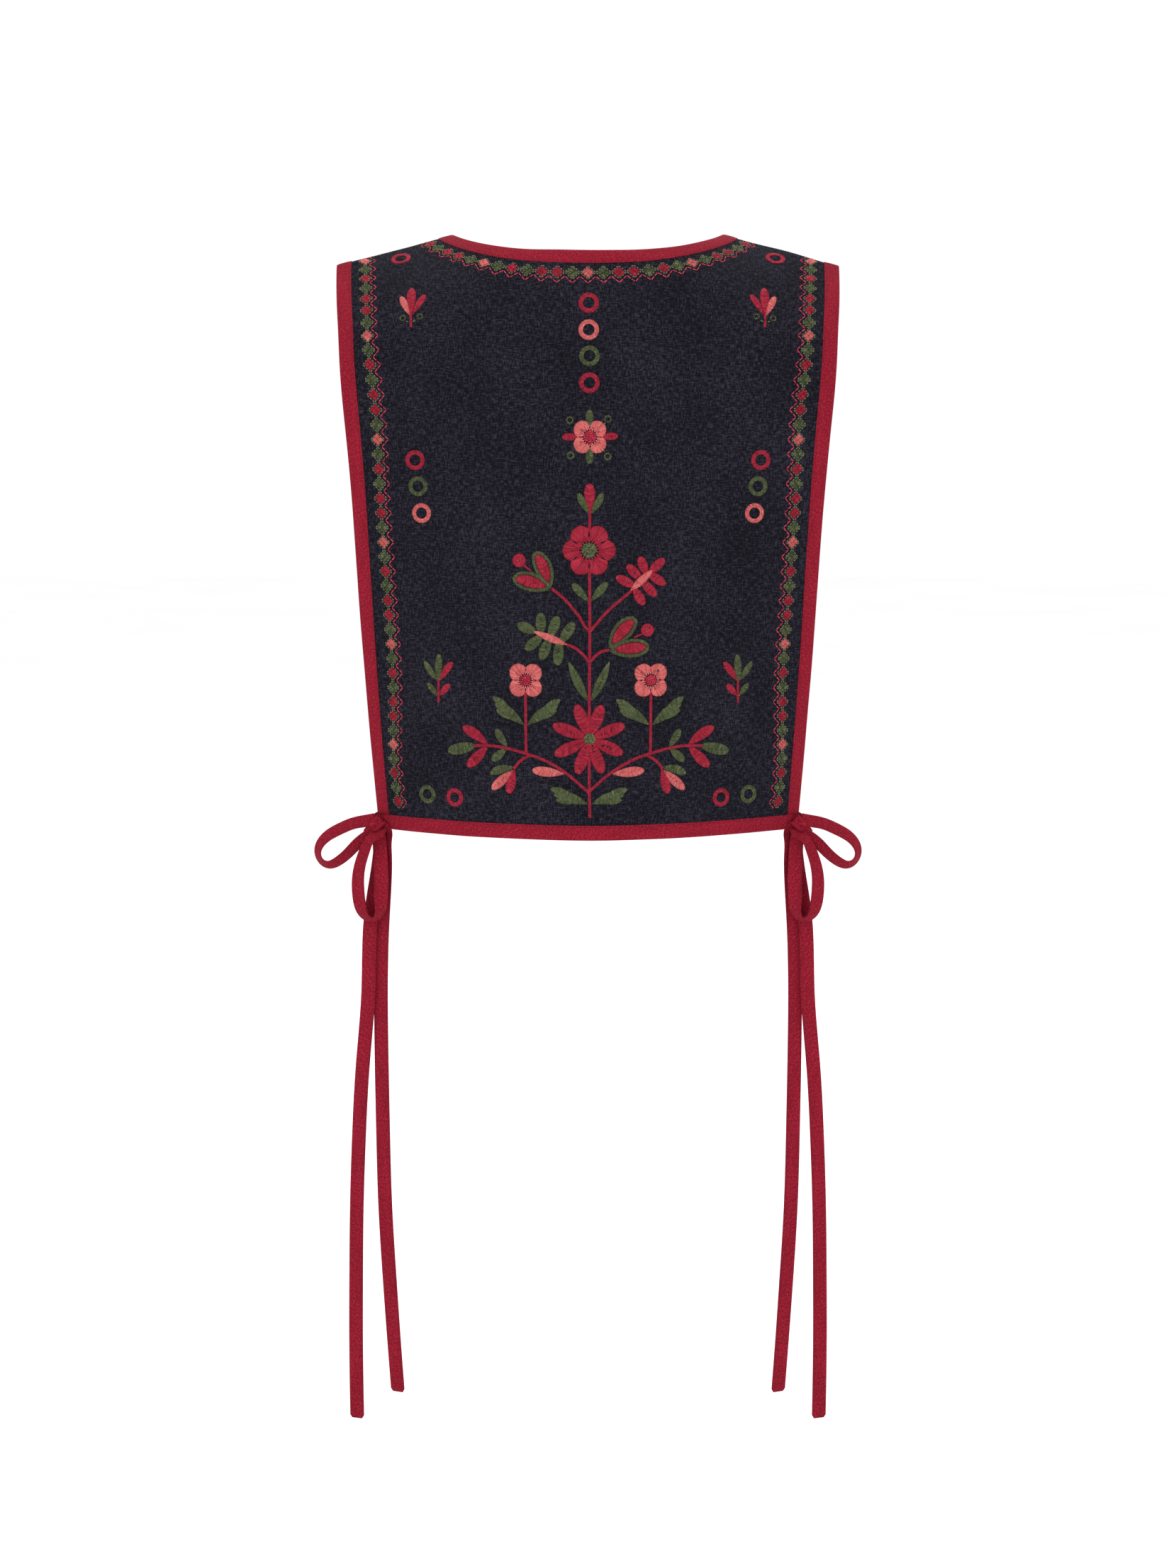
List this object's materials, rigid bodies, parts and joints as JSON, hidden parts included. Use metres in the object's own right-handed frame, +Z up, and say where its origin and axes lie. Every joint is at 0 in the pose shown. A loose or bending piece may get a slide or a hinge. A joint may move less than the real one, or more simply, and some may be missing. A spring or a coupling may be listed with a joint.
{
  "type": "embroidered folk vest",
  "caption": "Sleeveless tabard vest in dark linen with folk embroidery, crimson bound edges and a tie bow at each hem corner, holding the hollow form of a worn garment.",
  "frame": {"origin": "midway between the two neck points, level with the shoulder ridge, where the wearer's shoulders carry the vest", "axes": "+Z up, -Y towards the embroidered back that the picture shows, +X to the right as seen from behind"},
  "size_m": [0.4724, 0.2218, 1.0308],
  "materials": {
    "dark_linen": "plain woven linen, matt, near-black navy",
    "crimson_binding": "plain woven cotton bias band, matt crimson",
    "crimson_thread": "stranded embroidery thread, soft sheen, crimson",
    "coral_thread": "stranded embroidery thread, soft sheen, coral pink",
    "green_thread": "stranded embroidery thread, soft sheen, olive green"
  },
  "bodies": {
    "root": {"back_panel": "dark_linen", "front_panel": "dark_linen", "neck_binding": "crimson_binding", "left_side_binding": "crimson_binding", "right_side_binding": "crimson_binding", "back_hem_binding": "crimson_binding", "front_hem_binding": "crimson_binding", "left_knot": "crimson_binding", "left_side_loop": "crimson_binding", "left_drop_loop": "crimson_binding", "left_short_tie": "crimson_binding", "left_long_tie": "crimson_binding", "left_front_lead": "crimson_binding", "right_knot": "crimson_binding", "right_side_loop": "crimson_binding", "right_drop_loop": "crimson_binding", "right_short_tie": "crimson_binding", "right_long_tie": "crimson_binding", "right_front_lead": "crimson_binding"}
  },
  "joints": []
}
